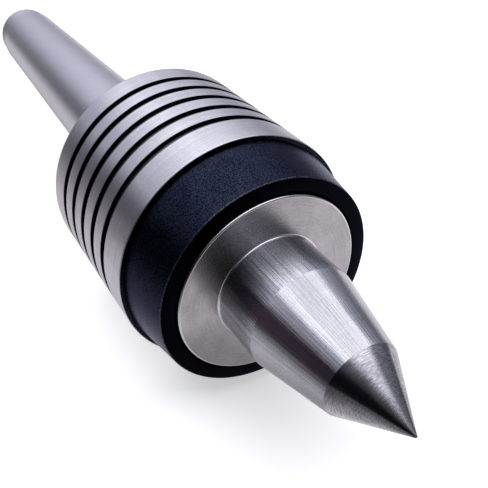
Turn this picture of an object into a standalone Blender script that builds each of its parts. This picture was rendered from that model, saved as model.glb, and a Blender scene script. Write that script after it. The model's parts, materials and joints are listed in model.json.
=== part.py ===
"""Live center with a Morse taper 1 shank: a grooved bearing housing that is one piece with its shank, a
black front cap screwed onto the housing, and a pointed spindle that turns in two ball bearings and a
thrust bearing.

Run it with: blender --background --python part.py

The turning axis is X, with +X towards the point and +Z up. The origin is on the axis at the taper's gauge
plane. Dimensions are in millimetres, and MM turns them into Blender's metres.
"""

import math
from collections import namedtuple

import bmesh
import bpy
from mathutils import Vector

MM = 0.001
SIDES = 32  # flats round each turned piece
POCKET_SIDES = 12  # flats round each ball pocket of a cage
ARC_STEPS = 6  # chords along each raceway
FIT = 0.03  # gap between pieces that touch on the real object
BALL_GAP = 0.1  # running gap round each ball, more than the flats beside it cut off
WELD = 0.0001  # points on the axis this close are one
SHARP_EDGE = math.radians(25)

# Morse taper 1 shank, without a tang
GAUGE_RADIUS = 12.065 / 2
RADIUS_GROWTH = 1 / 20.047 / 2
GAUGE_TO_BODY = 3.5
RELIEF_WIDTH = 1.0
RELIEF_DEPTH = 0.15
TAPER_LENGTH = 50.0
SHANK_LENGTH = 53.5
PILOT_RADIUS = 4.5
PILOT_CHAMFER = 0.5
CENTRE_HOLE_RADIUS = 1.6
CENTRE_HOLE_HALF_ANGLE = math.radians(30)
CENTRE_HOLE_PILOT_RADIUS = 0.6
CENTRE_HOLE_PILOT_DEPTH = 1.6

# Bearing housing
BODY_RADIUS = 13.0
BODY_LENGTH = 19.34
BODY_REAR_ROUND = 0.7
BODY_FRONT_CHAMFER = 0.1
GROOVE_COUNT = 5
GROOVE_WIDTH = 1.0
GROOVE_PITCH = 2.79
GROOVE_DEPTH = 0.6
REAR_LAND = 3.26
NOSE_RADIUS = 11.0
NOSE_LENGTH = 2.05
NOSE_CHAMFER = 0.3

# Front cap
CAP_REAR_RADIUS = 12.52
CAP_FRONT_RADIUS = 11.59
CAP_LENGTH = 5.9
CAP_TO_BODY = 0.09
CAP_EDGE = 0.12
THREAD_GAP = 0.1
LIP_BORE_RADIUS = 7.4
FLANGE_RIM_GAP = 0.2
FLANGE_REAR_GAP = 0.3

# Spindle
FLANGE_RADIUS = 9.88
FLANGE_PROUD = 0.26
FLANGE_THICKNESS = 2.5
FLANGE_CHAMFER = 0.2
ROOT_FILLET = 0.2
POINT_RADIUS = 5.67
POINT_CYLINDER_LENGTH = 5.66
POINT_LENGTH = 20.46
CONE_BASE_RADIUS = 3.88
CONE_HALF_ANGLE = math.radians(30)
TIP_RADIUS = 0.15
BOSS_RADIUS = 5.5
TAIL_X = 4.2
TAIL_CHAMFER = 0.3
TAIL_HOLE_RADIUS = 0.9
CLIP_GROOVE_RADIUS = 2.75
CLIP_GROOVE_WIDTH = 0.72

# Bearings: the rear face of each radial one, and the ball circle's plane of the thrust one
RadialBearing = namedtuple("RadialBearing", "name rear_x bore_r outer_r width ball_r pitch_r balls")
FRONT_BEARING = RadialBearing("front_bearing", 19.0, 4.0, 9.5, 6.0, 1.5875, 6.75, 7)
REAR_BEARING = RadialBearing("rear_bearing", 6.0, 3.0, 6.5, 5.0, 1.19, 4.75, 7)
SHOULDER_PER_BALL = 0.66  # ring shoulder's distance from the ball circle, per ball radius
CAGE_PER_BALL = 0.45  # half the cage's wall, per ball radius
CAGE_SIDE = 0.35  # cage material beside each ball pocket
SHIELD_SEAT_DEPTH = 0.6
SHIELD_SEAT_STEP = 0.25
SHIELD_THICKNESS = 0.3
SHIELD_INSET = 0.15
SHIELD_RUNNING_GAP = 0.12

THRUST_X = 15.6
THRUST_WIDTH = 5.0
THRUST_WASHER = 1.5
THRUST_OUTER_RADIUS = 8.0
THRUST_PITCH_RADIUS = 6.0
THRUST_BALL_RADIUS = 1.19
THRUST_BALLS = 9
THRUST_CAGE_RADII = (4.5, 7.6)
THRUST_CAGE_HALF_WIDTH = 0.55
THRUST_SIDE_GAP = 0.15  # bore of the standing washer, and rim of the turning one

# Housing bores behind the front bearing
THRUST_POCKET_RADIUS = 8.3
TAIL_POCKET_RADIUS = 4.6
TAIL_POCKET_X = 3.8
REAR_SHOULDER_X = 5.4

# Small rings
INNER_SPACER_RADIUS = 5.5
SLEEVE_RADIUS = 4.2
SPINDLE_STEP_X = 12.6
SEAL_RADII = (5.6, 7.3)
SEAL_LENGTH = 1.0
WAVE_RADII = (4.95, 6.4)
WAVE_THICKNESS = 0.2
WAVE_HEIGHT = 0.11
WAVES = 4
CLIP_RADIUS = 3.55
CLIP_THICKNESS = 0.6
CLIP_EAR_RADIUS = 4.2
CLIP_GAP_ANGLE = math.radians(36)
CLIP_EAR_ANGLE = math.radians(24)

# Places worked out from the sizes above
BODY_FRONT_X = GAUGE_TO_BODY + BODY_LENGTH
CAP_REAR_X = BODY_FRONT_X + CAP_TO_BODY
CAP_FRONT_X = CAP_REAR_X + CAP_LENGTH
FLANGE_FRONT_X = CAP_FRONT_X + FLANGE_PROUD
FLANGE_REAR_X = FLANGE_FRONT_X - FLANGE_THICKNESS
TIP_X = FLANGE_FRONT_X + POINT_LENGTH
FRONT_RING_FRONT_X = FRONT_BEARING.rear_x + FRONT_BEARING.width
LIP_REAR_X = FRONT_RING_FRONT_X + FIT
LIP_FRONT_X = FLANGE_REAR_X - FLANGE_REAR_GAP
THRUST_REAR_X = THRUST_X - THRUST_WIDTH / 2
THRUST_FRONT_X = THRUST_X + THRUST_WIDTH / 2


def principled(name, colour, roughness, metallic):
    material = bpy.data.materials.new(name)
    material.use_nodes = True
    shader = material.node_tree.nodes["Principled BSDF"]
    shader.inputs["Base Color"].default_value = (*colour, 1)
    shader.inputs["Roughness"].default_value = roughness
    shader.inputs["Metallic"].default_value = metallic
    return material


def arc(centre, radius, start, end, steps):
    """Points (x, r) along an arc between two angles, where 0 is +X and 90 degrees is outward."""
    points = []
    for step in range(steps + 1):
        angle = start + (end - start) * step / steps
        points.append((centre[0] + radius * math.cos(angle), centre[1] + radius * math.sin(angle)))
    return points


def place(name, mesh_data, material, parent, location=(0, 0, 0)):
    """Puts a mesh in the scene as one named piece, hung on the empty whose axis it turns about."""
    piece = bpy.data.objects.new(name, mesh_data)
    if not mesh_data.materials:
        mesh_data.materials.append(material)
    piece.location = Vector(location) * MM
    piece.parent = parent
    bpy.context.scene.collection.objects.link(piece)
    return piece


def finish_mesh(name, mesh):
    bmesh.ops.recalc_face_normals(mesh, faces=mesh.faces)
    mesh_data = bpy.data.meshes.new(name)
    mesh.to_mesh(mesh_data)
    mesh.free()
    mesh_data.shade_smooth()
    mesh_data.set_sharp_from_angle(angle=SHARP_EDGE)
    return mesh_data


def turned(name, outline, material, parent):
    """A solid of revolution about X. An outline (x, r) that starts and ends on the axis is a solid piece,
    and any other one is closed into a ring."""
    mesh = bmesh.new()
    corners = [mesh.verts.new((x * MM, 0, r * MM)) for x, r in outline]
    edges = [mesh.edges.new(pair) for pair in zip(corners, corners[1:])]
    if outline[0][1] > 0:
        edges.append(mesh.edges.new((corners[-1], corners[0])))
    bmesh.ops.spin(
        mesh,
        geom=corners + edges,
        cent=(0, 0, 0),
        axis=(1, 0, 0),
        angle=math.tau,
        steps=SIDES,
        use_merge=True,
    )
    bmesh.ops.remove_doubles(mesh, verts=mesh.verts, dist=WELD * MM)
    return place(name, finish_mesh(name, mesh), material, parent)


def ring(name, x_range, r_range, material, parent):
    """A plain ring of rectangular section."""
    (x0, x1), (r0, r1) = x_range, r_range
    return turned(name, [(x0, r0), (x0, r1), (x1, r1), (x1, r0)], material, parent)


def shank_radius(x):
    return GAUGE_RADIUS + x * RADIUS_GROWTH


def shank_outline():
    """From the centre hole's tip on the axis, round the small end and up the taper to the housing."""
    end_x = -SHANK_LENGTH
    cone_depth = (CENTRE_HOLE_RADIUS - CENTRE_HOLE_PILOT_RADIUS) / math.tan(CENTRE_HOLE_HALF_ANGLE)
    pilot_end_x = end_x + cone_depth + CENTRE_HOLE_PILOT_DEPTH
    taper_end_radius = shank_radius(-TAPER_LENGTH)
    relief_radius = shank_radius(GAUGE_TO_BODY) - RELIEF_DEPTH
    relief_x = GAUGE_TO_BODY - RELIEF_WIDTH
    return [
        (pilot_end_x + CENTRE_HOLE_PILOT_RADIUS, 0),
        (pilot_end_x, CENTRE_HOLE_PILOT_RADIUS),
        (end_x + cone_depth, CENTRE_HOLE_PILOT_RADIUS),
        (end_x, CENTRE_HOLE_RADIUS),
        (end_x, PILOT_RADIUS - PILOT_CHAMFER),
        (end_x + PILOT_CHAMFER, PILOT_RADIUS),
        (-TAPER_LENGTH - (taper_end_radius - PILOT_RADIUS), PILOT_RADIUS),
        (-TAPER_LENGTH, taper_end_radius),
        (relief_x - RELIEF_DEPTH, shank_radius(relief_x - RELIEF_DEPTH)),
        (relief_x, relief_radius),
        (GAUGE_TO_BODY, relief_radius),
    ]


def groove_outline(rear_x):
    front_x = rear_x + GROOVE_WIDTH
    floor = BODY_RADIUS - GROOVE_DEPTH
    return [(rear_x, BODY_RADIUS), (rear_x, floor), (front_x, floor), (front_x, BODY_RADIUS)]


def housing_outline():
    """The housing's rear edge, its grooved outside and the threaded nose that carries the cap."""
    round_centre = (GAUGE_TO_BODY + BODY_REAR_ROUND, BODY_RADIUS - BODY_REAR_ROUND)
    points = arc(round_centre, BODY_REAR_ROUND, math.pi, math.pi / 2, 3)
    for index in range(GROOVE_COUNT):
        points += groove_outline(GAUGE_TO_BODY + REAR_LAND + index * GROOVE_PITCH)
    nose_x = BODY_FRONT_X + NOSE_LENGTH
    points += [
        (BODY_FRONT_X - BODY_FRONT_CHAMFER, BODY_RADIUS),
        (BODY_FRONT_X, BODY_RADIUS - BODY_FRONT_CHAMFER),
        (BODY_FRONT_X, NOSE_RADIUS),
        (nose_x - NOSE_CHAMFER, NOSE_RADIUS),
        (nose_x, NOSE_RADIUS - NOSE_CHAMFER),
    ]
    return points


def bore_outline():
    """The stepped bore, from the nose back to the tail pocket's floor on the axis."""
    seat_radius = FRONT_BEARING.outer_r + FIT
    rear_radius = REAR_BEARING.outer_r + FIT
    seat_x = FRONT_BEARING.rear_x - FIT
    thrust_x = THRUST_REAR_X - FIT
    return [
        (BODY_FRONT_X + NOSE_LENGTH, seat_radius),
        (seat_x, seat_radius),
        (seat_x, THRUST_POCKET_RADIUS),
        (thrust_x, THRUST_POCKET_RADIUS),
        (thrust_x, rear_radius),
        (REAR_SHOULDER_X, rear_radius),
        (REAR_SHOULDER_X, TAIL_POCKET_RADIUS),
        (TAIL_POCKET_X, TAIL_POCKET_RADIUS),
        (TAIL_POCKET_X, 0),
    ]


def build_body(steel):
    return turned("body_shank", shank_outline() + housing_outline() + bore_outline(), steel, None)


def build_front_cap(black, parent):
    """A ring nut: a cone outside, a thread bore behind, and an inner lip that holds the front bearing in."""
    slope = (CAP_REAR_RADIUS - CAP_FRONT_RADIUS) / CAP_LENGTH
    thread_radius = NOSE_RADIUS + THREAD_GAP
    recess_radius = FLANGE_RADIUS + FLANGE_RIM_GAP
    outline = [
        (CAP_REAR_X, thread_radius),
        (CAP_REAR_X, CAP_REAR_RADIUS - CAP_EDGE),
        (CAP_REAR_X + CAP_EDGE, CAP_REAR_RADIUS - slope * CAP_EDGE),
        (CAP_FRONT_X - CAP_EDGE, CAP_FRONT_RADIUS + slope * CAP_EDGE),
        (CAP_FRONT_X, CAP_FRONT_RADIUS - CAP_EDGE),
        (CAP_FRONT_X, recess_radius),
        (LIP_FRONT_X, recess_radius),
        (LIP_FRONT_X, LIP_BORE_RADIUS),
        (LIP_REAR_X, LIP_BORE_RADIUS),
        (LIP_REAR_X, thread_radius),
    ]
    return turned("front_cap", outline, black, parent)


def point_outline():
    """From the tip on the axis, down the 60 degree cone and the slight taper to the flange's face."""
    tip = arc((TIP_X - TIP_RADIUS, 0), TIP_RADIUS, 0, math.pi / 2 - CONE_HALF_ANGLE, 2)
    tangent_x, tangent_radius = tip[-1]
    cone_length = (CONE_BASE_RADIUS - tangent_radius) / math.tan(CONE_HALF_ANGLE)
    fillet_centre = (FLANGE_FRONT_X + ROOT_FILLET, POINT_RADIUS + ROOT_FILLET)
    fillet = arc(fillet_centre, ROOT_FILLET, math.pi * 3 / 2, math.pi, 2)
    tip[0] = (TIP_X, 0)
    return tip + [
        (tangent_x - cone_length, CONE_BASE_RADIUS),
        (FLANGE_FRONT_X + POINT_CYLINDER_LENGTH, POINT_RADIUS),
        *fillet,
    ]


def journal_outline():
    """From the flange's rim back over the boss and both journals to the tail's centre hole on the axis."""
    clip_front_x = REAR_BEARING.rear_x - FIT
    clip_rear_x = clip_front_x - CLIP_GROOVE_WIDTH
    boss_x = FRONT_RING_FRONT_X + FIT
    return [
        (FLANGE_FRONT_X, FLANGE_RADIUS - FLANGE_CHAMFER),
        (FLANGE_FRONT_X - FLANGE_CHAMFER, FLANGE_RADIUS),
        (FLANGE_REAR_X, FLANGE_RADIUS),
        (FLANGE_REAR_X, BOSS_RADIUS),
        (boss_x, BOSS_RADIUS),
        (boss_x, FRONT_BEARING.bore_r),
        (SPINDLE_STEP_X, FRONT_BEARING.bore_r),
        (SPINDLE_STEP_X, REAR_BEARING.bore_r),
        (clip_front_x, REAR_BEARING.bore_r),
        (clip_front_x, CLIP_GROOVE_RADIUS),
        (clip_rear_x, CLIP_GROOVE_RADIUS),
        (clip_rear_x, REAR_BEARING.bore_r),
        (TAIL_X + TAIL_CHAMFER, REAR_BEARING.bore_r),
        (TAIL_X, REAR_BEARING.bore_r - TAIL_CHAMFER),
        (TAIL_X, TAIL_HOLE_RADIUS),
        (TAIL_X + TAIL_HOLE_RADIUS / math.tan(CENTRE_HOLE_HALF_ANGLE), 0),
    ]


def build_spindle(steel, parent):
    return turned("spindle", point_outline() + journal_outline(), steel, parent)


def race_arc(bearing, side):
    """The raceway from the front to the rear shoulder, in the outer (side 1) or inner (side -1) ring."""
    centre = (bearing.rear_x + bearing.width / 2, bearing.pitch_r)
    radius = bearing.ball_r + BALL_GAP
    edge = math.asin(SHOULDER_PER_BALL * bearing.ball_r / radius)
    return arc(centre, radius, side * edge, side * (math.pi - edge), ARC_STEPS)


def shield_seat_radius(bearing):
    return bearing.pitch_r + SHOULDER_PER_BALL * bearing.ball_r + SHIELD_SEAT_STEP


def build_outer_ring(bearing, steel, parent):
    rear_x, front_x = bearing.rear_x, bearing.rear_x + bearing.width
    shoulder = bearing.pitch_r + SHOULDER_PER_BALL * bearing.ball_r
    seat = shield_seat_radius(bearing)
    outline = [
        (rear_x, bearing.outer_r),
        (front_x, bearing.outer_r),
        (front_x, seat),
        (front_x - SHIELD_SEAT_DEPTH, seat),
        (front_x - SHIELD_SEAT_DEPTH, shoulder),
        *race_arc(bearing, 1),
        (rear_x + SHIELD_SEAT_DEPTH, shoulder),
        (rear_x + SHIELD_SEAT_DEPTH, seat),
        (rear_x, seat),
    ]
    return turned(bearing.name + "_outer_ring", outline, steel, parent)


def build_inner_ring(bearing, steel, parent):
    rear_x, front_x = bearing.rear_x, bearing.rear_x + bearing.width
    bore = bearing.bore_r + FIT
    shoulder = bearing.pitch_r - SHOULDER_PER_BALL * bearing.ball_r
    outline = [
        (rear_x, bore),
        (front_x, bore),
        (front_x, shoulder),
        *race_arc(bearing, -1),
        (rear_x, shoulder),
    ]
    return turned(bearing.name + "_inner_ring", outline, steel, parent)


def build_shields(bearing, steel, parent):
    inner = bearing.pitch_r - SHOULDER_PER_BALL * bearing.ball_r + SHIELD_RUNNING_GAP
    radii = (inner, shield_seat_radius(bearing) - FIT)
    rear_x = bearing.rear_x + SHIELD_INSET
    front_x = bearing.rear_x + bearing.width - SHIELD_INSET - SHIELD_THICKNESS
    for side, x in (("front", front_x), ("rear", rear_x)):
        ring(f"{bearing.name}_{side}_shield", (x, x + SHIELD_THICKNESS), radii, steel, parent)


def build_balls(name, x, pitch_radius, ball_radius, count, steel, parent):
    """One node for each ball, all of them sharing one mesh, evenly spaced round the axis."""
    mesh = bmesh.new()
    bmesh.ops.create_icosphere(mesh, subdivisions=2, radius=ball_radius * MM)
    ball = finish_mesh(name, mesh)
    for index in range(count):
        angle = math.tau * index / count
        location = (x, pitch_radius * math.cos(angle), pitch_radius * math.sin(angle))
        place(f"{name}_{index + 1}", ball, steel, parent, location)


def pocket_cutter(name, x, pitch_radius, ball_radius, depth, count, radial):
    """Cylinders at the balls' places, along the radius or along the axis, that cut the cage's pockets."""
    mesh = bmesh.new()
    for index in range(count):
        angle = math.tau * index / count
        outward = Vector((0, math.cos(angle), math.sin(angle)))
        direction = outward if radial else Vector((1, 0, 0))
        turn = Vector((0, 0, 1)).rotation_difference(direction).to_matrix().to_4x4()
        turn.translation = (Vector((x, 0, 0)) + outward * pitch_radius) * MM
        radius = (ball_radius + BALL_GAP) * MM
        bmesh.ops.create_cone(
            mesh,
            cap_ends=True,
            segments=POCKET_SIDES,
            radius1=radius,
            radius2=radius,
            depth=depth * MM,
            matrix=turn,
        )
    cutter = bpy.data.objects.new(name, finish_mesh(name, mesh))
    cutter.hide_render = True
    cutter.display_type = "WIRE"
    bpy.context.scene.collection.objects.link(cutter)
    return cutter


def cut(piece, cutter):
    boolean = piece.modifiers.new("pockets", "BOOLEAN")
    boolean.operation = "DIFFERENCE"
    boolean.object = cutter


def build_radial_cage(bearing, brass, parent):
    x = bearing.rear_x + bearing.width / 2
    half_width = bearing.ball_r + BALL_GAP + CAGE_SIDE
    half_wall = CAGE_PER_BALL * bearing.ball_r
    radii = (bearing.pitch_r - half_wall, bearing.pitch_r + half_wall)
    cage = ring(bearing.name + "_cage", (x - half_width, x + half_width), radii, brass, parent)
    depth = 4 * half_wall
    name = bearing.name + "_pockets"
    cut(cage, pocket_cutter(name, x, bearing.pitch_r, bearing.ball_r, depth, bearing.balls, True))


def build_radial_bearing(bearing, materials, housing, spindle_axis, cage_axis):
    build_outer_ring(bearing, materials["race"], housing)
    build_shields(bearing, materials["shield"], housing)
    build_inner_ring(bearing, materials["race"], spindle_axis)
    build_radial_cage(bearing, materials["cage"], cage_axis)
    x = bearing.rear_x + bearing.width / 2
    name = bearing.name + "_ball"
    build_balls(name, x, bearing.pitch_r, bearing.ball_r, bearing.balls, materials["ball"], cage_axis)


def thrust_washer_outline(face_x, race_x, radii):
    """A washer with its flat back at face_x and the balls' raceway cut into its other face, at race_x."""
    inner, outer = radii
    radius = THRUST_BALL_RADIUS + BALL_GAP
    half_arc = math.acos(abs(race_x - THRUST_X) / radius)
    middle = math.pi if race_x < THRUST_X else 0
    race = arc((THRUST_X, THRUST_PITCH_RADIUS), radius, middle - half_arc, middle + half_arc, ARC_STEPS)
    race.sort(key=lambda point: point[1])
    return [(face_x, inner), (race_x, inner), *race, (race_x, outer), (face_x, outer)]


def build_thrust_bearing(materials, housing, spindle_axis, cage_axis):
    housing_radii = (FRONT_BEARING.bore_r + THRUST_SIDE_GAP, THRUST_OUTER_RADIUS)
    shaft_radii = (FRONT_BEARING.bore_r + FIT, THRUST_OUTER_RADIUS - THRUST_SIDE_GAP)
    standing = thrust_washer_outline(THRUST_REAR_X, THRUST_REAR_X + THRUST_WASHER, housing_radii)
    turning = thrust_washer_outline(THRUST_FRONT_X, THRUST_FRONT_X - THRUST_WASHER, shaft_radii)
    turned("thrust_bearing_housing_washer", standing, materials["race"], housing)
    turned("thrust_bearing_shaft_washer", turning, materials["race"], spindle_axis)
    x_range = (THRUST_X - THRUST_CAGE_HALF_WIDTH, THRUST_X + THRUST_CAGE_HALF_WIDTH)
    cage = ring("thrust_bearing_cage", x_range, THRUST_CAGE_RADII, materials["cage"], cage_axis)
    balls = (THRUST_X, THRUST_PITCH_RADIUS, THRUST_BALL_RADIUS)
    depth = 4 * THRUST_CAGE_HALF_WIDTH
    cut(cage, pocket_cutter("thrust_bearing_pockets", *balls, depth, THRUST_BALLS, False))
    build_balls("thrust_bearing_ball", *balls, THRUST_BALLS, materials["ball"], cage_axis)


def build_wave_washer(steel, parent):
    """A flat ring bent into waves, between the housing's rear shoulder and the rear bearing."""
    middle = (REAR_SHOULDER_X + REAR_BEARING.rear_x) / 2
    x_range = (middle - WAVE_THICKNESS / 2, middle + WAVE_THICKNESS / 2)
    washer = ring("preload_wave_washer", x_range, WAVE_RADII, steel, parent)
    for vertex in washer.data.vertices:
        angle = math.atan2(vertex.co.z, vertex.co.y)
        vertex.co.x += WAVE_HEIGHT * MM * math.cos(WAVES * angle)


def clip_outline():
    """The circlip's outline in the YZ plane: an open ring with its gap at the top and an ear at each end."""
    steps = SIDES
    start = CLIP_GAP_ANGLE / 2
    outer, inner = [], []
    for step in range(steps + 1):
        turn = start + (math.tau - 2 * start) * step / steps
        in_ear = min(turn, math.tau - turn) < start + CLIP_EAR_ANGLE
        radius = CLIP_EAR_RADIUS if in_ear else CLIP_RADIUS
        outer.append((radius * math.sin(turn), radius * math.cos(turn)))
        inner_radius = CLIP_GROOVE_RADIUS + FIT
        inner.append((inner_radius * math.sin(turn), inner_radius * math.cos(turn)))
    return outer + inner[::-1]


def build_circlip(steel, parent):
    mesh = bmesh.new()
    groove_middle = REAR_BEARING.rear_x - FIT - CLIP_GROOVE_WIDTH / 2
    rear_x = groove_middle - CLIP_THICKNESS / 2
    corners = [mesh.verts.new((rear_x * MM, y * MM, z * MM)) for y, z in clip_outline()]
    half = len(corners) // 2
    faces = []
    for index in range(half - 1):
        quad = (corners[index], corners[index + 1], corners[-2 - index], corners[-1 - index])
        faces.append(mesh.faces.new(quad))
    lifted = bmesh.ops.extrude_face_region(mesh, geom=faces, use_keep_orig=True)
    moved = [item for item in lifted["geom"] if isinstance(item, bmesh.types.BMVert)]
    bmesh.ops.translate(mesh, verts=moved, vec=(CLIP_THICKNESS * MM, 0, 0))
    return place("retaining_circlip", finish_mesh("retaining_circlip", mesh), steel, parent)


def build_small_rings(materials, housing, spindle_axis):
    bore = FRONT_BEARING.bore_r + FIT
    spacer_x = (THRUST_FRONT_X + FIT, FRONT_BEARING.rear_x - FIT)
    ring("inner_spacer", spacer_x, (bore, INNER_SPACER_RADIUS), materials["race"], spindle_axis)
    sleeve_x = (REAR_BEARING.rear_x + REAR_BEARING.width + FIT, SPINDLE_STEP_X - FIT)
    sleeve_radii = (REAR_BEARING.bore_r + FIT, SLEEVE_RADIUS)
    ring("spacer_sleeve", sleeve_x, sleeve_radii, materials["race"], spindle_axis)
    seal_middle = (LIP_REAR_X + LIP_FRONT_X) / 2
    seal_x = (seal_middle - SEAL_LENGTH / 2, seal_middle + SEAL_LENGTH / 2)
    ring("dust_seal", seal_x, SEAL_RADII, materials["seal"], housing)
    build_wave_washer(materials["spring"], housing)
    build_circlip(materials["spring"], spindle_axis)


def axis_empty(name):
    """An empty at the origin, which lies on the turning axis. The pieces of one turning group hang on it."""
    empty = bpy.data.objects.new(name, None)
    empty.empty_display_size = 5 * MM
    bpy.context.scene.collection.objects.link(empty)
    return empty


def clear_scene():
    for obj in list(bpy.data.objects):
        bpy.data.objects.remove(obj, do_unlink=True)


def build_materials():
    return {
        "housing": principled("ground_steel", (0.55, 0.54, 0.57), 0.28, 1.0),
        "cap": principled("black_oxide", (0.012, 0.013, 0.022), 0.38, 0.6),
        "spindle": principled("spindle_steel", (0.56, 0.55, 0.58), 0.24, 1.0),
        "race": principled("bearing_steel", (0.60, 0.60, 0.62), 0.18, 1.0),
        "ball": principled("ball_steel", (0.68, 0.68, 0.70), 0.08, 1.0),
        "cage": principled("cage_brass", (0.62, 0.43, 0.17), 0.32, 1.0),
        "shield": principled("shield_steel", (0.50, 0.50, 0.52), 0.35, 1.0),
        "seal": principled("seal_rubber", (0.02, 0.02, 0.02), 0.7, 0.0),
        "spring": principled("spring_steel", (0.22, 0.22, 0.24), 0.4, 1.0),
    }


def main():
    clear_scene()
    materials = build_materials()
    housing = build_body(materials["housing"])
    spindle_axis = axis_empty("spindle_axis")
    build_front_cap(materials["cap"], housing)
    build_spindle(materials["spindle"], spindle_axis)
    build_radial_bearing(FRONT_BEARING, materials, housing, spindle_axis, axis_empty("front_cage_axis"))
    build_radial_bearing(REAR_BEARING, materials, housing, spindle_axis, axis_empty("rear_cage_axis"))
    build_thrust_bearing(materials, housing, spindle_axis, axis_empty("thrust_cage_axis"))
    build_small_rings(materials, housing, spindle_axis)


main()
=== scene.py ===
"""Looks of the live center: finely turned meshes for the three outer pieces, and a procedural finish for
every piece. Lengths here are in millimetres unless a name says otherwise, and MM turns them into metres.
"""

import json
import math
from collections import namedtuple

import bpy
from mathutils import Matrix, Vector


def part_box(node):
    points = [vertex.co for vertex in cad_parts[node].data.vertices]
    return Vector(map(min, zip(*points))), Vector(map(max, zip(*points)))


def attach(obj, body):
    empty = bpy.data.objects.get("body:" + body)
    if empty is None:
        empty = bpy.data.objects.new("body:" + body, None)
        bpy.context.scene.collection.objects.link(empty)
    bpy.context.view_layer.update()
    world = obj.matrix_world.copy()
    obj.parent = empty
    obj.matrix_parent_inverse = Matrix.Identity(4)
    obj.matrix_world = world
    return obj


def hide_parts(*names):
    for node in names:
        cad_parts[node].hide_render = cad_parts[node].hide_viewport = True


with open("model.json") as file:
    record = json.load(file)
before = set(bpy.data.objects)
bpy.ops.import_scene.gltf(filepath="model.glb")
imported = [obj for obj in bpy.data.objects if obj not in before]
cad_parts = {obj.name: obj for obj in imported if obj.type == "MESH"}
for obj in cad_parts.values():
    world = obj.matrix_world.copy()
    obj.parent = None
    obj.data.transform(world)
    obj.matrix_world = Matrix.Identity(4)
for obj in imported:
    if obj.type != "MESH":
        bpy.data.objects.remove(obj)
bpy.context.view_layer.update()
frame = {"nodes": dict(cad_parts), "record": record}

MM = 0.001
SEGMENTS = 192  # round each turned piece
BEND_STEP = math.radians(18)  # along each rounded edge
SHARP_EDGE = math.radians(28)

# A place on an outline. bend is the radius that rounds the corner, finish covers the stretch that leaves it,
# and edge covers the rounded corner itself.
Corner = namedtuple("Corner", "x r bend finish edge", defaults=(0, None, None))


def extent(node):
    """(rear x, front x, radius) of a turned CAD node."""
    low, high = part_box(node)
    return low.x / MM, high.x / MM, high.z / MM


BODY_REAR, BODY_NOSE, BODY_RADIUS = extent("body_shank")
CAP_REAR, CAP_FRONT, CAP_RADIUS = extent("front_cap")
SPINDLE_REAR, TIP_X, FLANGE_RADIUS = extent("spindle")
BODY_FACE = CAP_REAR - 0.09  # the cap screws up to this face

# Shank: a Morse taper 1, measured from the gauge plane at x = 0
GAUGE_RADIUS = 12.065 / 2
RADIUS_GROWTH = 1 / 20.047 / 2
HOUSING_REAR = 3.5

# Grooves in the housing
GROOVE_COUNT = 5
GROOVE_WIDTH = 1.0
GROOVE_PITCH = 2.79
GROOVE_DEPTH = 0.6
REAR_LAND = 3.26

# Camera: its place from the tip, in housing radii, and its view
CAMERA_FROM_TIP = Vector((1.5529, -2.0872, 3.1908))
CAMERA_AZIMUTH = math.radians(59.29)
CAMERA_ELEVATION = math.radians(36.72)
CAMERA_LENS_MM = 48.84
CAMERA_SENSOR_MM = 36.0

# Studio: a white floor, a broad lamp overhead, pale walls, and a dark side towards the camera
FLOOR_SIZE_M = 6.0
LAMP_TILT = math.radians(10)
LAMP_AZIMUTH = math.radians(145)  # it leans over the shank, and away from the camera
LAMP_START = math.cos(math.radians(41))  # where the lamp's edge starts, from its middle
LAMP_RIM = math.cos(math.radians(36))
LAMP_HEART = math.cos(math.radians(12))
LAMP_RIM_RADIANCE = 2.45
LAMP_HEART_RADIANCE = 1.8
LAMP_COLOUR = (0.98, 0.98, 1.03)
WALL_HEIGHTS = (0.22, 0.6)  # heights are the upward part of a direction
WALL_RADIANCE = (0.40, 1.0)  # below and above those heights
WALL_REARWARD = (0.3, 1.2)  # share of it in front of the point, and behind the shank
WALL_COLOUR = (0.93, 0.94, 1.10)
DARK_AZIMUTH = math.radians(-85)
DARK_EDGES = (-0.1, 0.8)  # cosines from the dark azimuth: where the dark side starts, and where it is full
DARK_HEIGHTS = (0.42, 0.70)  # over these heights the dark side ends
DARK_TILT = 0.40  # it ends lower over the shank than in front of the point

# What only the steel sees: a glowing table below it, and a dark screen on the camera's side
TABLE_SIZE_M = 1.2
TABLE_COLOUR = (1.0, 0.97, 1.03)
TABLE_LIFT = 0.02
TABLE_GLOW = 1.0  # beside the shank
TABLE_SHADOW = 0.5  # what is left of the glow straight under the object
TABLE_FALL = 0.009  # a millimetre towards the camera
TABLE_FRONT_FALL = 0.03  # a millimetre further, from here to the near front corner
TABLE_FRONT_START = 44
TABLE_FRONT_END = 60
TABLE_DIM = 0.15
SCREEN_MIDDLE_X = 10
SCREEN_REACH = (115, 72)  # along X, and towards the camera
SCREEN_ANGLES = (math.radians(-108), math.radians(-40))
SCREEN_HEIGHTS = (-8, 42)
FELT_BROWN = (0.078, 0.055, 0.072)
FELT_BLACK = (0.003, 0.003, 0.004)


# ---------------------------------------------------------------- camera, floor and light


def make_camera():
    data = bpy.data.cameras.new("camera")
    data.lens = CAMERA_LENS_MM
    data.sensor_width = CAMERA_SENSOR_MM
    data.clip_start = 0.001
    data.clip_end = 20
    camera = bpy.data.objects.new("camera", data)
    forward = Vector(
        (
            -math.sin(CAMERA_AZIMUTH) * math.cos(CAMERA_ELEVATION),
            math.cos(CAMERA_AZIMUTH) * math.cos(CAMERA_ELEVATION),
            -math.sin(CAMERA_ELEVATION),
        )
    )
    camera.rotation_mode = "QUATERNION"
    camera.rotation_quaternion = forward.to_track_quat("-Z", "Y")
    camera.location = Vector((TIP_X * MM, 0, 0)) + CAMERA_FROM_TIP * BODY_RADIUS * MM
    bpy.context.scene.collection.objects.link(camera)
    bpy.context.scene.camera = camera


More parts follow.
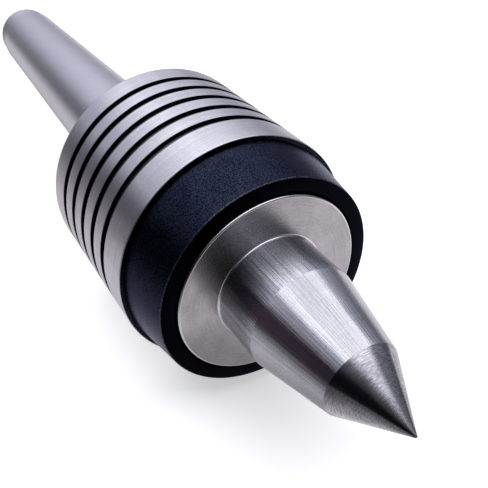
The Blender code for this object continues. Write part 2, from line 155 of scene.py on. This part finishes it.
def mesh_object(name, vertices, faces):
    mesh = bpy.data.meshes.new(name)
    mesh.from_pydata(vertices, [], faces)
    mesh.update()
    obj = bpy.data.objects.new(name, mesh)
    bpy.context.scene.collection.objects.link(obj)
    return obj


def level_sheet(name, size, z):
    half = size / 2
    corners = [(-half, -half, z), (half, -half, z), (half, half, z), (-half, half, z)]
    return mesh_object(name, corners, [(0, 1, 2, 3)])


def make_floor():
    floor = level_sheet("floor", FLOOR_SIZE_M, -BODY_RADIUS * MM)
    paper = Graph(bpy.data.materials.new("floor_paper"))
    paper.set(Base_Color=(0.92, 0.92, 0.92, 1), Roughness=1.0, Specular_IOR_Level=0.0)
    paper.set(Emission_Color=(1, 1, 1, 1), Emission_Strength=0.5)
    floor.data.materials.append(paper.owner)
    floor.visible_glossy = False


def make_light_table():
    """What the steel reflects from below: a pale glow that fades towards the camera's side. Only reflections
    see it."""
    table = level_sheet("light_table", TABLE_SIZE_M, (TABLE_LIFT - BODY_RADIUS) * MM)
    graph = Graph(bpy.data.materials.new("table_glow"))
    graph.set(Base_Color=(0, 0, 0, 1), Specular_IOR_Level=0.0, Emission_Color=(*TABLE_COLOUR, 1))
    parts = graph.tree.nodes.new("ShaderNodeSeparateXYZ")
    graph.feed(parts.inputs[0], graph.texture_coordinate("Object"))
    x, y = (graph.math("MULTIPLY", out, 1 / MM) for out in parts.outputs[:2])
    # Painted shade: the glow falls towards the camera's side and towards the near front corner.
    side = graph.span(y, -80, 5, -80 * TABLE_FALL, 5 * TABLE_FALL)
    corner = graph.math("ADD", x, graph.math("MULTIPLY", y, -0.5))
    depth = (TABLE_FRONT_START - TABLE_FRONT_END) * TABLE_FRONT_FALL
    front = graph.span(corner, TABLE_FRONT_START, TABLE_FRONT_END, 0, depth)
    glow = graph.math("ADD", graph.math("ADD", side, front), TABLE_GLOW)
    # Painted shadow: the glow dips straight under the object, as if the object shaded the table.
    painted_shadow = graph.span(graph.math("ABSOLUTE", graph.math("ADD", y, 3)), 2, 14, TABLE_SHADOW, 1)
    painted_shadow = graph.math("MAXIMUM", painted_shadow, graph.span(x, 35, 41, 0, 1))
    glow = graph.math("MULTIPLY", graph.math("MAXIMUM", glow, TABLE_DIM), painted_shadow)
    graph.feed(graph.shader.inputs["Emission Strength"], glow)
    table.data.materials.append(graph.owner)
    table.visible_camera = False
    table.visible_diffuse = False
    table.visible_shadow = False


def make_screen():
    """A low dark screen, which draws the black band along the polished steel. Only reflections see it."""
    steps = 32
    start, end = SCREEN_ANGLES
    vertices = []
    for step in range(steps + 1):
        angle = start + (end - start) * step / steps
        x = (SCREEN_MIDDLE_X + SCREEN_REACH[0] * math.cos(angle)) * MM
        y = SCREEN_REACH[1] * math.sin(angle) * MM
        vertices += [(x, y, z * MM) for z in SCREEN_HEIGHTS]
    faces = [(2 * k, 2 * k + 2, 2 * k + 3, 2 * k + 1) for k in range(steps)]
    screen = mesh_object("dark_screen", vertices, faces)
    felt = Graph(bpy.data.materials.new("dark_felt"))
    parts = felt.tree.nodes.new("ShaderNodeSeparateXYZ")
    felt.feed(parts.inputs[0], felt.texture_coordinate("Object"))
    shade = felt.mix_colour(felt.span(parts.outputs["X"], 0.02, 0.055, 0, 1), FELT_BROWN, FELT_BLACK)
    felt.feed(felt.shader.inputs["Base Color"], shade)
    felt.set(Roughness=1.0, Specular_IOR_Level=0.0)
    screen.data.materials.append(felt.owner)
    screen.visible_camera = False
    screen.visible_diffuse = False
    screen.visible_shadow = False


def make_world():
    """The light round the object, as a radiance for each direction. The camera itself sees plain white."""
    world = bpy.data.worlds.new("studio")
    graph = Graph(world)
    direction = graph.texture_coordinate("Generated")
    lean = math.sin(LAMP_TILT)
    overhead = (lean * math.cos(LAMP_AZIMUTH), lean * math.sin(LAMP_AZIMUTH), math.cos(LAMP_TILT))
    towards_lamp = graph.vector("DOT_PRODUCT", direction, overhead)
    towards_dark = graph.vector("DOT_PRODUCT", direction, (math.cos(DARK_AZIMUTH), math.sin(DARK_AZIMUTH), 0))
    height = graph.vector("DOT_PRODUCT", direction, (0, 0, 1))
    rearward = graph.vector("DOT_PRODUCT", direction, (-1, 0, 0))
    wall = graph.span(height, *WALL_HEIGHTS, *WALL_RADIANCE)
    wall = graph.math("MULTIPLY", wall, graph.span(rearward, -0.4, 1, *WALL_REARWARD))
    lit = graph.span(towards_dark, *DARK_EDGES, 1, 0)
    raised = graph.math("ADD", height, graph.math("MULTIPLY", rearward, DARK_TILT))
    lit = graph.math("MAXIMUM", lit, graph.span(raised, *DARK_HEIGHTS, 0, 1))
    wall = graph.math("MULTIPLY", wall, lit)
    lamp = graph.span(towards_lamp, LAMP_RIM, LAMP_HEART, LAMP_RIM_RADIANCE, LAMP_HEART_RADIANCE)
    lamp_share = graph.span(towards_lamp, LAMP_START, LAMP_RIM, 0, 1)
    light = graph.mix_value(lamp_share, wall, lamp)
    colour = graph.mix_colour(lamp_share, WALL_COLOUR, LAMP_COLOUR)
    backdrop = graph.light_path("Is Camera Ray")
    graph.feed(graph.shader.inputs["Strength"], graph.mix_value(backdrop, light, 1.0))
    graph.feed(graph.shader.inputs["Color"], graph.mix_colour(backdrop, colour, (1.0, 1.0, 1.0)))
    bpy.context.scene.world = world
    bpy.context.scene.view_settings.view_transform = "Standard"


# ---------------------------------------------------------------- turned meshes


def bend_points(before, corner, after):
    """The arc that rounds a corner between its two neighbours."""
    point = Vector((corner.x, corner.r))
    incoming = (point - Vector((before.x, before.r))).normalized()
    outgoing = (Vector((after.x, after.r)) - point).normalized()
    turn = incoming.angle_signed(outgoing)
    reach = corner.bend * math.tan(abs(turn) / 2)
    start = point - incoming * reach
    side = Vector((incoming.y, -incoming.x)) * math.copysign(1, turn)
    centre = start + side * corner.bend
    steps = max(2, round(abs(turn) / BEND_STEP))
    spoke = start - centre
    points = []
    for step in range(steps + 1):
        arm = spoke.copy()
        arm.rotate(Matrix.Rotation(-turn * step / steps, 2))
        points.append(centre + arm)
    return points


def rounded(corners):
    """Points (x, r, finish) along an outline of corners, each rounded by its bend."""
    points = []
    for index, corner in enumerate(corners):
        before = corners[index - 1]
        after = corners[(index + 1) % len(corners)]
        if corner.bend == 0:
            points.append((corner.x, corner.r, corner.finish))
            continue
        arc = bend_points(before, corner, after)
        edge = corner.edge or corner.finish
        points += [(p.x, p.y, edge) for p in arc[:-1]]
        points.append((arc[-1].x, arc[-1].y, corner.finish))
    return points


def turned(name, corners, finishes):
    """A lathed mesh. An outline that starts and ends on the axis is solid, and others close on themselves."""
    points = rounded(corners)
    on_axis = points[0][1] == 0
    vertices, rings = [], []
    for x, r, _ in points:
        if r == 0:
            rings.append([len(vertices)] * SEGMENTS)
            vertices.append((x * MM, 0, 0))
            continue
        rings.append(list(range(len(vertices), len(vertices) + SEGMENTS)))
        for step in range(SEGMENTS):
            angle = math.tau * step / SEGMENTS
            vertices.append((x * MM, r * MM * math.cos(angle), r * MM * math.sin(angle)))
    slots = list(finishes)
    faces, face_slots = [], []
    stretches = len(points) - 1 if on_axis else len(points)
    for index in range(stretches):
        near, far = rings[index], rings[(index + 1) % len(points)]
        for step in range(SEGMENTS):
            ahead = (step + 1) % SEGMENTS
            loop = [near[step], near[ahead], far[ahead], far[step]]
            faces.append(list(dict.fromkeys(loop)))
            face_slots.append(slots.index(points[index][2]))
    piece = mesh_object(name, vertices, faces)
    for finish in slots:
        piece.data.materials.append(finishes[finish])
    piece.data.polygons.foreach_set("material_index", face_slots)
    piece.data.shade_smooth()
    piece.data.set_sharp_from_angle(angle=SHARP_EDGE)
    weighted = piece.modifiers.new("even_faces", "WEIGHTED_NORMAL")
    weighted.keep_sharp = True
    return piece


def shank_radius(x):
    return GAUGE_RADIUS + x * RADIUS_GROWTH


def groove(rear_x):
    """One groove: sharp ground rims, a black rear wall, and a dull floor with small radii."""
    front_x = rear_x + GROOVE_WIDTH
    floor = BODY_RADIUS - GROOVE_DEPTH
    return [
        Corner(rear_x, BODY_RADIUS, 0.04, "black", "ground"),
        Corner(rear_x, floor, 0.12, "groove"),
        Corner(front_x, floor, 0.12, "groove"),
        Corner(front_x, BODY_RADIUS, 0.04, "ground"),
    ]


def body_corners():
    """From the shank's centre hole, along the outside to the nose, and back down the bores."""
    relief = shank_radius(HOUSING_REAR) - 0.15
    taper_end = shank_radius(-50)
    end = BODY_REAR
    corners = [
        Corner(end + 3.93, 0, 0, "turned"),
        Corner(end + 3.33, 0.6, 0, "turned"),
        Corner(end + 1.73, 0.6, 0, "turned"),
        Corner(end, 1.6, 0.08, "turned"),
        Corner(end, 4.0, 0.15, "turned"),
        Corner(end + 0.5, 4.5, 0.15, "turned"),
        Corner(-50 - (taper_end - 4.5), 4.5, 0.1, "turned"),
        Corner(-50, taper_end, 0.15, "shank"),
        Corner(HOUSING_REAR - 1.15, shank_radius(HOUSING_REAR - 1.15), 0, "turned"),
        Corner(HOUSING_REAR - 1, relief, 0.1, "turned"),
        Corner(HOUSING_REAR, relief, 0.25, "turned"),
        Corner(HOUSING_REAR, BODY_RADIUS, 0.7, "ground"),
    ]
    for index in range(GROOVE_COUNT):
        corners += groove(HOUSING_REAR + REAR_LAND + index * GROOVE_PITCH)
    corners += [
        Corner(BODY_FACE, BODY_RADIUS, 0.08, "black", "ground"),
        Corner(BODY_FACE, 11.0, 0, "turned"),
        Corner(BODY_FACE + 2.05, 11.0, 0.3, "turned"),
        Corner(BODY_FACE + 2.05, 9.53, 0, "bore"),
        Corner(18.97, 9.53, 0, "bore"),
        Corner(18.97, 8.3, 0, "bore"),
        Corner(13.07, 8.3, 0, "bore"),
        Corner(13.07, 6.53, 0, "bore"),
        Corner(5.4, 6.53, 0, "bore"),
        Corner(5.4, 4.6, 0, "bore"),
        Corner(3.8, 4.6, 0, "bore"),
        Corner(3.8, 0, 0, "bore"),
    ]
    return corners


def cap_corners():
    """From the rear face over the conical outside to the front face, and back inside the lip."""
    front_radius = 11.59
    return [
        Corner(CAP_REAR, 11.1, 0, "black"),
        # The cap's two rounded edges take the rim black: a lighter colour that paints a highlight along them.
        Corner(CAP_REAR, CAP_RADIUS, 0.14, "black", "rim"),
        Corner(CAP_FRONT, front_radius, 0.1, "face", "rim"),
        Corner(CAP_FRONT, FLANGE_RADIUS + 0.2, 0.06, "face"),
        Corner(26.29, FLANGE_RADIUS + 0.2, 0, "face"),
        Corner(26.29, 7.4, 0, "black"),
        Corner(25.03, 7.4, 0, "black"),
        Corner(25.03, 11.1, 0, "black"),
    ]


def spindle_corners():
    """From the tip along the point to the flange, then over the journals to the rear centre hole."""
    flange_front = CAP_FRONT + 0.26
    flange_rear = flange_front - 2.5
    cone_base = 3.88
    tip_bend = 0.15
    sharp_tip = TIP_X + tip_bend
    cone_base_x = sharp_tip - cone_base / math.tan(math.radians(30))
    return [
        Corner(TIP_X, 0, 0, "cone"),
        *tip_arc(tip_bend),
        Corner(cone_base_x, cone_base, 0.05, "taper"),
        Corner(flange_front + 5.66, 5.67, 0.05, "cylinder"),
        Corner(flange_front, 5.67, 0.2, "disc", "fillet"),
        Corner(flange_front, FLANGE_RADIUS, 0.2, "disc", "fillet"),
        Corner(flange_rear, FLANGE_RADIUS, 0.1, "journal"),
        Corner(flange_rear, 5.5, 0.2, "journal"),
        Corner(25.03, 5.5, 0, "journal"),
        Corner(25.03, 4.0, 0, "journal"),
        Corner(12.6, 4.0, 0, "journal"),
        Corner(12.6, 3.0, 0, "journal"),
        Corner(5.97, 3.0, 0, "journal"),
        Corner(5.97, 2.75, 0, "journal"),
        Corner(5.25, 2.75, 0, "journal"),
        Corner(5.25, 3.0, 0, "journal"),
        Corner(SPINDLE_REAR + 0.3, 3.0, 0, "journal"),
        Corner(SPINDLE_REAR, 2.7, 0, "journal"),
        Corner(SPINDLE_REAR, 0.9, 0, "journal"),
        Corner(SPINDLE_REAR + 1.56, 0, 0, "journal"),
    ]


def tip_arc(radius):
    """The blunt tip's round nose, from the axis to where the 60 degree cone leaves it."""
    steps = 5
    corners = []
    for step in range(1, steps + 1):
        angle = math.radians(60) * step / steps
        x = TIP_X - radius + radius * math.cos(angle)
        corners.append(Corner(x, radius * math.sin(angle), 0, "cone"))
    return corners


# ---------------------------------------------------------------- materials


class Graph:
    """A small helper that adds nodes to one material or world, and links them."""

    def __init__(self, owner):
        owner.use_nodes = True
        self.owner = owner
        self.tree = owner.node_tree
        shaders = ("BSDF_PRINCIPLED", "BACKGROUND")
        self.shader = next(node for node in self.tree.nodes if node.type in shaders)

    def set(self, **values):
        for name, value in values.items():
            self.shader.inputs[name.replace("_", " ")].default_value = value

    def feed(self, socket, value):
        if isinstance(value, bpy.types.NodeSocket):
            self.tree.links.new(value, socket)
        elif value is not None:
            socket.default_value = value

    def math(self, operation, first, second=None):
        node = self.tree.nodes.new("ShaderNodeMath")
        node.operation = operation
        self.feed(node.inputs[0], first)
        self.feed(node.inputs[1], second)
        return node.outputs[0]

    def vector(self, operation, first, second):
        node = self.tree.nodes.new("ShaderNodeVectorMath")
        node.operation = operation
        self.feed(node.inputs[0], first)
        self.feed(node.inputs[1], second)
        return node.outputs["Value"]

    def texture_coordinate(self, name):
        return self.tree.nodes.new("ShaderNodeTexCoord").outputs[name]

    def light_path(self, name):
        return self.tree.nodes.new("ShaderNodeLightPath").outputs[name]

    def mix_value(self, factor, first, second):
        node = self.tree.nodes.new("ShaderNodeMix")
        self.feed(node.inputs["Factor"], factor)
        self.feed(node.inputs["A"], first)
        self.feed(node.inputs["B"], second)
        return node.outputs["Result"]

    def combine(self, x, y, z):
        node = self.tree.nodes.new("ShaderNodeCombineXYZ")
        for socket, value in zip(node.inputs, (x, y, z)):
            self.feed(socket, value)
        return node.outputs[0]

    def noise(self, vector, detail):
        node = self.tree.nodes.new("ShaderNodeTexNoise")
        self.feed(node.inputs["Vector"], vector)
        node.inputs["Scale"].default_value = 1.0
        node.inputs["Detail"].default_value = detail
        return node.outputs["Fac"]

    def span(self, value, from_low, from_high, to_low, to_high):
        node = self.tree.nodes.new("ShaderNodeMapRange")
        for socket, number in zip(node.inputs, (value, from_low, from_high, to_low, to_high)):
            self.feed(socket, number)
        return node.outputs[0]

    def mix_colour(self, factor, dark, light):
        node = self.tree.nodes.new("ShaderNodeMix")
        node.data_type = "RGBA"
        self.feed(node.inputs["Factor"], factor)
        for name, colour in (("A", dark), ("B", light)):
            self.feed(node.inputs[name], (*colour, 1) if isinstance(colour, tuple) else colour)
        return node.outputs["Result"]

    def bump(self, height, distance_mm, below=None):
        node = self.tree.nodes.new("ShaderNodeBump")
        node.inputs["Distance"].default_value = distance_mm * MM
        self.feed(node.inputs["Height"], height)
        self.feed(node.inputs["Normal"], below)
        return node.outputs["Normal"]

    def turned_space(self):
        """(place along the outline, direction round the axis as y and z) of a turned surface, in mm."""
        parts = self.tree.nodes.new("ShaderNodeSeparateXYZ")
        self.feed(parts.inputs[0], self.texture_coordinate("Object"))
        x, y, z = (self.math("MULTIPLY", out, 1 / MM) for out in parts.outputs)
        squares = self.math("ADD", self.math("MULTIPLY", y, y), self.math("MULTIPLY", z, z))
        radius = self.math("SQRT", squares)
        safe = self.math("MAXIMUM", radius, 0.01)
        return self.math("SUBTRACT", x, radius), self.math("DIVIDE", y, safe), self.math("DIVIDE", z, safe)

    def rings(self, space, per_mm, arcs, seed, detail=2.0):
        """Noise drawn out into rings: fine across the outline, and slow round the axis."""
        along, y, z = space
        place = self.math("ADD", self.math("MULTIPLY", along, per_mm), seed)
        round_y = self.math("MULTIPLY", y, arcs)
        round_z = self.math("MULTIPLY", z, arcs)
        return self.noise(self.combine(place, round_y, round_z), detail)

    def brushed_round(self):
        """Turns the shader's anisotropy so that highlights spread across the machining marks."""
        tangent = self.tree.nodes.new("ShaderNodeTangent")
        tangent.direction_type = "RADIAL"
        tangent.axis = "X"
        self.tree.links.new(tangent.outputs[0], self.shader.inputs["Tangent"])
        self.shader.inputs["Anisotropic Rotation"].default_value = 0.25


def ground_steel(name, look):
    """Steel with fine rings from turning or grinding, and streaks along the axis. look holds its numbers."""
    graph = Graph(bpy.data.materials.new(name))
    space = graph.turned_space()
    fine = graph.rings(space, look["fine_per_mm"], look["arcs"], 3.1)
    broad = graph.rings(space, look["broad_per_mm"], look["arcs"] * 0.5, 17.7)
    streaks = graph.rings(space, 0.12, look["streaks"], 41.3, 4.0)
    patches = graph.rings(space, look["patch_per_mm"], look["patch_arcs"], 61.9, 4.0)
    speckle = graph.rings(space, 6.0, look["speckle_arcs"], 83.3, 3.0)
    graph.set(Metallic=1.0, Anisotropic=look["anisotropic"])
    tone = 0.0
    for value, share in zip((fine, streaks, patches, speckle), look["tone"]):
        if share:
            tone = graph.math("ADD", graph.math("MULTIPLY", value, share), tone)
    colour = graph.mix_colour(graph.span(tone, 0.38, 0.62, 0, 1), look["dark"], look["light"])
    graph.feed(graph.shader.inputs["Base Color"], colour)
    low, high = look["roughness"]
    graph.feed(graph.shader.inputs["Roughness"], graph.span(tone, 0.3, 0.7, high, low))
    height = graph.bump(fine, look["fine_depth"])
    height = graph.bump(broad, look["broad_depth"], height)
    if look["streak_depth"]:
        height = graph.bump(streaks, look["streak_depth"], height)
    graph.feed(graph.shader.inputs["Normal"], height)
    graph.brushed_round()
    return graph.owner


def steel_look(dark, light, roughness, anisotropic, **other):
    """The numbers of one steel finish: arcs are changes round the axis, tone is the share of (fine rings,
    streaks, patches, speckle) in the colour, and depths are in mm."""
    look = {
        "dark": dark,
        "light": light,
        "roughness": roughness,
        "anisotropic": anisotropic,
        "fine_per_mm": 9.0,
        "broad_per_mm": 1.3,
        "arcs": 1.5,
        "streaks": 20.0,
        "patch_per_mm": 0.35,
        "patch_arcs": 2.2,
        "speckle_arcs": 60.0,
        "tone": (0.4, 0.0, 0.3, 0.3),
        "fine_depth": 0.0008,
        "broad_depth": 0.0010,
        "streak_depth": 0.0,
    }
    look.update(other)
    return look


def black_oxide(name, colour, tint, roughness, grain_depth):
    """Oil-blackened steel: a dark navy skin with a fine grain."""
    graph = Graph(bpy.data.materials.new(name))
    space = graph.turned_space()
    grain = graph.rings(space, 7.0, 90.0, 5.3, 3.0)
    cloud = graph.rings(space, 0.8, 5.0, 23.9)
    lines = graph.rings(space, 10.0, 1.2, 31.7)
    mixed = graph.math("ADD", graph.math("MULTIPLY", grain, 0.85), graph.math("MULTIPLY", cloud, 0.15))
    shade = graph.mix_colour(graph.span(mixed, 0.40, 0.66, 0, 1), colour, tint)
    graph.feed(graph.shader.inputs["Base Color"], shade)
    spread = graph.span(grain, 0.3, 0.7, roughness - 0.05, roughness + 0.05)
    graph.feed(graph.shader.inputs["Roughness"], spread)
    graph.set(Metallic=1.0, Specular_Tint=(0.66, 0.67, 0.76, 1))
    normal = graph.bump(grain, grain_depth)
    normal = graph.bump(lines, grain_depth * 0.25, normal)
    graph.feed(graph.shader.inputs["Normal"], normal)
    return graph.owner


def soft_rubber(name, colour):
    graph = Graph(bpy.data.materials.new(name))
    grain = graph.rings(graph.turned_space(), 6.0, 40.0, 2.9, 3.0)
    paler = tuple(2 * channel for channel in colour)
    graph.feed(graph.shader.inputs["Base Color"], graph.mix_colour(grain, colour, paler))
    graph.set(Roughness=0.7)
    graph.feed(graph.shader.inputs["Normal"], graph.bump(grain, 0.01))
    return graph.owner


def make_finishes():
    ground = steel_look(
        (0.45, 0.44, 0.48),
        (0.67, 0.66, 0.69),
        (0.28, 0.36),
        0.75,
        patch_per_mm=0.05,
        patch_arcs=5.0,
        speckle_arcs=110.0,
        tone=(0.3, 0.0, 0.35, 0.35),
    )
    shank = steel_look(
        (0.54, 0.53, 0.575), (0.60, 0.59, 0.64), (0.24, 0.26), 0.6, fine_depth=0.0002, broad_depth=0.0001
    )
    groove_floor = steel_look((0.11, 0.11, 0.13), (0.18, 0.18, 0.20), (0.48, 0.58), 0.2)
    turned_look = steel_look((0.42, 0.41, 0.44), (0.56, 0.55, 0.57), (0.35, 0.45), 0.6, broad_depth=0.002)
    bore = steel_look((0.40, 0.40, 0.42), (0.52, 0.52, 0.54), (0.35, 0.45), 0.5)
    taper = steel_look(
        (0.28, 0.28, 0.31),
        (0.50, 0.495, 0.52),
        (0.15, 0.21),
        0.7,
        streaks=75.0,
        streak_depth=0.008,
        fine_depth=0.0002,
        broad_depth=0.0001,
        speckle_arcs=30.0,
        tone=(0.05, 0.6, 0.15, 0.2),
    )
    cylinder = steel_look(
        (0.25, 0.255, 0.295),
        (0.66, 0.66, 0.71),
        (0.20, 0.26),
        0.9,
        streaks=48.0,
        streak_depth=0.013,
        fine_depth=0.0002,
        broad_depth=0.0001,
        speckle_arcs=30.0,
        tone=(0.05, 0.7, 0.1, 0.15),
    )
    cone = steel_look(
        (0.20, 0.195, 0.215),
        (0.47, 0.465, 0.49),
        (0.18, 0.24),
        0.7,
        arcs=5.0,
        fine_depth=0.0035,
        speckle_arcs=20.0,
        tone=(0.5, 0.0, 0.3, 0.2),
    )
    disc = steel_look(
        (0.33, 0.315, 0.32),
        (0.44, 0.425, 0.43),
        (0.24, 0.30),
        0.3,
        patch_arcs=4.0,
        patch_per_mm=0.5,
        speckle_arcs=45.0,
        tone=(0.25, 0.0, 0.45, 0.3),
        broad_depth=0.0004,
    )
    fillet = steel_look((0.60, 0.59, 0.62), (0.68, 0.67, 0.69), (0.16, 0.22), 0.3, fine_depth=0.0002)
    bright = steel_look((0.58, 0.58, 0.60), (0.68, 0.68, 0.70), (0.18, 0.26), 0.5)
    ball = steel_look((0.70, 0.70, 0.72), (0.76, 0.76, 0.78), (0.06, 0.09), 0.0, fine_depth=0.00005)
    brass = steel_look((0.60, 0.42, 0.16), (0.74, 0.55, 0.24), (0.28, 0.38), 0.4)
    sheet = steel_look((0.44, 0.44, 0.46), (0.56, 0.56, 0.58), (0.32, 0.42), 0.3)
    dark_spring = steel_look((0.10, 0.10, 0.11), (0.18, 0.18, 0.20), (0.38, 0.48), 0.3)
    steels = {
        "ground": ground,
        "shank": shank,
        "groove": groove_floor,
        "turned": turned_look,
        "bore": bore,
        "taper": taper,
        "cylinder": cylinder,
        "cone": cone,
        "disc": disc,
        "fillet": fillet,
        "journal": bright,
        "race": bright,
        "ball": ball,
        "cage": brass,
        "shield": sheet,
        "spring": dark_spring,
    }
    finishes = {name: ground_steel(f"{name}_steel", look) for name, look in steels.items()}
    finishes["black"] = black_oxide("black_oxide", (0.002, 0.003, 0.008), (0.024, 0.028, 0.050), 0.27, 0.015)
    finishes["face"] = black_oxide("black_face", (0.0002, 0.0002, 0.0006), (0.001, 0.001, 0.002), 0.36, 0.004)
    # rim: a lighter black on the cap's rounded edges, a painted highlight.
    finishes["rim"] = black_oxide("black_rim_painted_highlight", (0.02, 0.02, 0.03), (0.14, 0.14, 0.17), 0.3, 0.001)
    finishes["rubber"] = soft_rubber("seal_rubber", (0.012, 0.012, 0.013))
    return finishes


# ---------------------------------------------------------------- pieces


def chosen(finishes, *names):
    return {name: finishes[name] for name in names}


def add_outer_pieces(finishes):
    names = ("ground", "shank", "groove", "black", "turned", "bore")
    body = turned("housing_and_shank", body_corners(), chosen(finishes, *names))
    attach(body, "housing")
    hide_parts("body_shank")
    cap = turned("blackened_cap", cap_corners(), chosen(finishes, "black", "face", "rim"))
    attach(cap, "housing")
    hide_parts("front_cap")
    names = ("cone", "taper", "cylinder", "disc", "fillet", "journal")
    spindle = turned("ground_spindle", spindle_corners(), chosen(finishes, *names))
    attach(spindle, "spindle_group")
    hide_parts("spindle")


SLOT_FINISH = {
    "bearing_steel": "race",
    "ball_steel": "ball",
    "cage_brass": "cage",
    "shield_steel": "shield",
    "seal_rubber": "rubber",
    "spring_steel": "spring",
}


def finish_inner_nodes(finishes):
    """The bearings, rings and springs inside keep their CAD shapes and get their own finishes."""
    for part in frame["record"]["subparts"]:
        finish = SLOT_FINISH.get(part["material_slot"])
        if finish is None:
            continue
        node = frame["nodes"][part["node"]]
        for slot in node.material_slots:
            slot.material = finishes[finish]


def main():
    make_camera()
    make_floor()
    make_light_table()
    make_screen()
    make_world()
    finishes = make_finishes()
    add_outer_pieces(finishes)
    finish_inner_nodes(finishes)


main()
